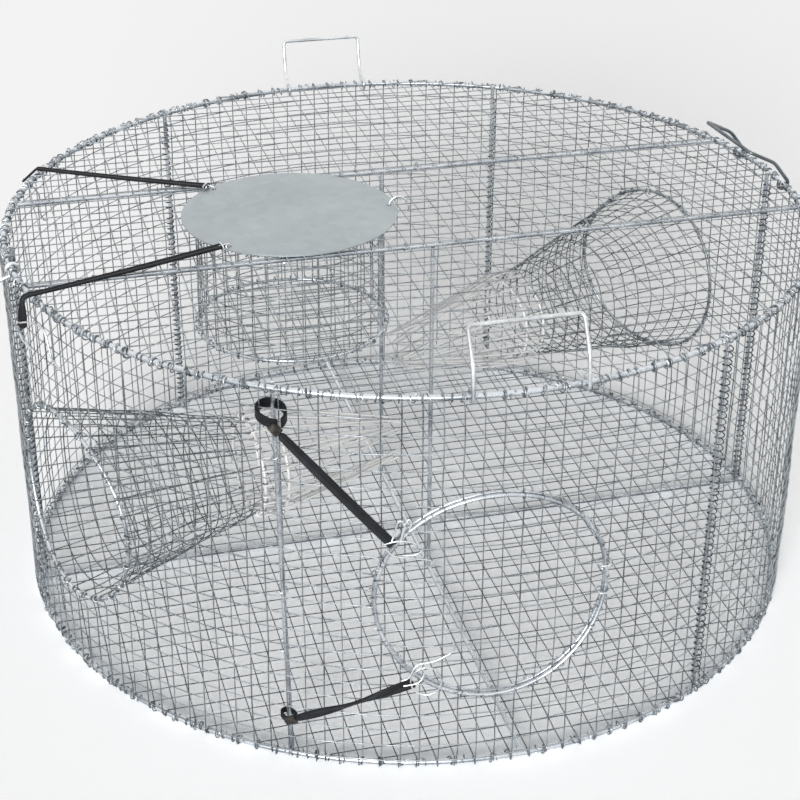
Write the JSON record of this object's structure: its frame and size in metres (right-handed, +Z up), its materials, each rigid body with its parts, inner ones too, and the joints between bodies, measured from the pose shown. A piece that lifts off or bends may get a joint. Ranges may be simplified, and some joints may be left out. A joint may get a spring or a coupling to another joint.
{
  "type": "fish trap",
  "caption": "Low drum-shaped wire mesh fish trap with two inward funnels, a hanging bait tube under a round lid, a round side door, rubber straps and bail handles.",
  "frame": {"origin": "on the ground under the middle of the drum, where the two bottom rods cross", "axes": "+Z up; -Y is the front, where the door is, a little to the left; +X to the right of someone facing the door"},
  "size_m": [0.9681, 0.9434, 0.4912],
  "materials": {
    "galvanised_rod": "galvanised, dull",
    "galvanised_mesh": "galvanised, weathered",
    "white_coated_wire": "white plastic coat",
    "black_rubber": "matt",
    "crimp_metal": "dull, browned",
    "galvanised_sheet": "galvanised sheet, dull"
  },
  "bodies": {
    "frame": {"bait_base_mesh": "galvanised_mesh", "bait_base_ring": "galvanised_rod", "bait_rim_ring": "galvanised_rod", "bait_tube_mesh": "galvanised_mesh", "bottom_hoop": "galvanised_rod", "bottom_rod_cross": "galvanised_rod", "bottom_rod_long": "galvanised_rod", "door_frame_ring": "galvanised_rod", "door_hinge_loop_lower": "galvanised_rod", "door_hinge_loop_upper": "galvanised_rod", "floor_mesh": "galvanised_mesh", "left_cone_mesh": "galvanised_mesh", "left_finger_basket": "white_coated_wire", "left_mouth_ring": "galvanised_rod", "left_throat_ring": "white_coated_wire", "lid_hinge_loop": "galvanised_rod", "lid_strap_tail_back": "black_rubber", "lid_strap_tail_front": "black_rubber", "lid_tail_hook_back": "galvanised_rod", "lid_tail_hook_front": "galvanised_rod", "lower_strap_crimp": "crimp_metal", "lower_strap_loop": "black_rubber", "right_cone_mesh": "galvanised_mesh", "right_finger_basket": "white_coated_wire", "right_mouth_ring": "galvanised_rod", "right_throat_ring": "white_coated_wire", "strut_back": "galvanised_rod", "strut_front": "galvanised_rod", "top_hoop": "galvanised_rod", "top_mesh": "galvanised_mesh", "top_rod_back": "galvanised_rod", "top_rod_front": "galvanised_rod", "upper_strap_crimp": "crimp_metal", "upper_strap_loop": "black_rubber", "upright_1": "galvanised_rod", "upright_2": "galvanised_rod", "upright_3": "galvanised_rod", "upright_4": "galvanised_rod", "upright_5": "galvanised_rod", "upright_6": "galvanised_rod", "wall_mesh": "galvanised_mesh"},
    "door": {"door_ring": "galvanised_rod", "door_mesh": "galvanised_mesh"},
    "lid": {"bait_lid": "galvanised_sheet"},
    "lid_strap_back": {"lid_strap_back": "black_rubber", "lid_hook_back": "galvanised_rod"},
    "lid_strap_front": {"lid_strap_front": "black_rubber", "lid_hook_front": "galvanised_rod"},
    "door_strap_upper": {"door_strap_upper": "black_rubber", "door_hook_upper": "galvanised_rod"},
    "door_strap_lower": {"door_strap_lower": "black_rubber", "door_hook_lower": "galvanised_rod"},
    "handle_front": {"handle_front": "galvanised_rod"},
    "handle_right": {"handle_right": "galvanised_rod"},
    "handle_back": {"handle_back": "galvanised_rod"},
    "handle_left": {"handle_left": "galvanised_rod"}
  },
  "joints": [
    {"name": "door_hinge", "type": "hinge", "parent": "frame", "child": "door", "pos_m": [0.07931, -0.45388, 0.209], "axis": [0, 0, 1], "range_deg": [0, 150]},
    {"name": "lid_hinge", "type": "hinge", "parent": "frame", "child": "lid", "pos_m": [-0.0113, 0.00135, 0.43295], "axis": [0.0698, 0.9976, 0], "range_deg": [0, 110]},
    {"name": "lid_strap_back_hinge", "type": "hinge", "parent": "frame", "child": "lid_strap_back", "pos_m": [-0.39659, 0.21265, 0.4337], "axis": [-0.5085, -0.8611, 0], "range_deg": [0, 165]},
    {"name": "lid_strap_front_hinge", "type": "hinge", "parent": "frame", "child": "lid_strap_front", "pos_m": [-0.42846, -0.13756, 0.4337], "axis": [0.3086, -0.9512, 0], "range_deg": [0, 165]},
    {"name": "door_strap_upper_hinge", "type": "hinge", "parent": "frame", "child": "door_strap_upper", "pos_m": [-0.22896, -0.40569, 0.38576], "axis": [0.3432, 0.9384, -0.0392], "range_deg": [0, 90]},
    {"name": "door_strap_lower_hinge", "type": "hinge", "parent": "frame", "child": "door_strap_lower", "pos_m": [-0.22023, -0.4048, 0.05832], "axis": [0.3783, 0.9248, 0.0409], "range_deg": [0, 35]},
    {"name": "handle_front_hinge", "type": "hinge", "parent": "frame", "child": "handle_front", "pos_m": [-0.00389, -0.44554, 0.427], "axis": [-1, 0.0087, 0], "range_deg": [-128, 62]},
    {"name": "handle_right_hinge", "type": "hinge", "parent": "frame", "child": "handle_right", "pos_m": [0.44568, 0.02336, 0.427], "axis": [0.0523, -0.9986, 0], "range_deg": [-159, 31]},
    {"name": "handle_back_hinge", "type": "hinge", "parent": "frame", "child": "handle_back", "pos_m": [0.00623, 0.4462, 0.427], "axis": [0.9999, -0.014, 0], "range_deg": [-82, 108]},
    {"name": "handle_left_hinge", "type": "hinge", "parent": "frame", "child": "handle_left", "pos_m": [-0.44567, 0, 0.427], "axis": [0, 1, 0], "range_deg": [-10, 180]}
  ],
  "couplings": [
    {"joint": "lid_strap_back_hinge", "follows": "lid_hinge", "ratio": 1.5},
    {"joint": "lid_strap_front_hinge", "follows": "lid_hinge", "ratio": 1.5}
  ]
}
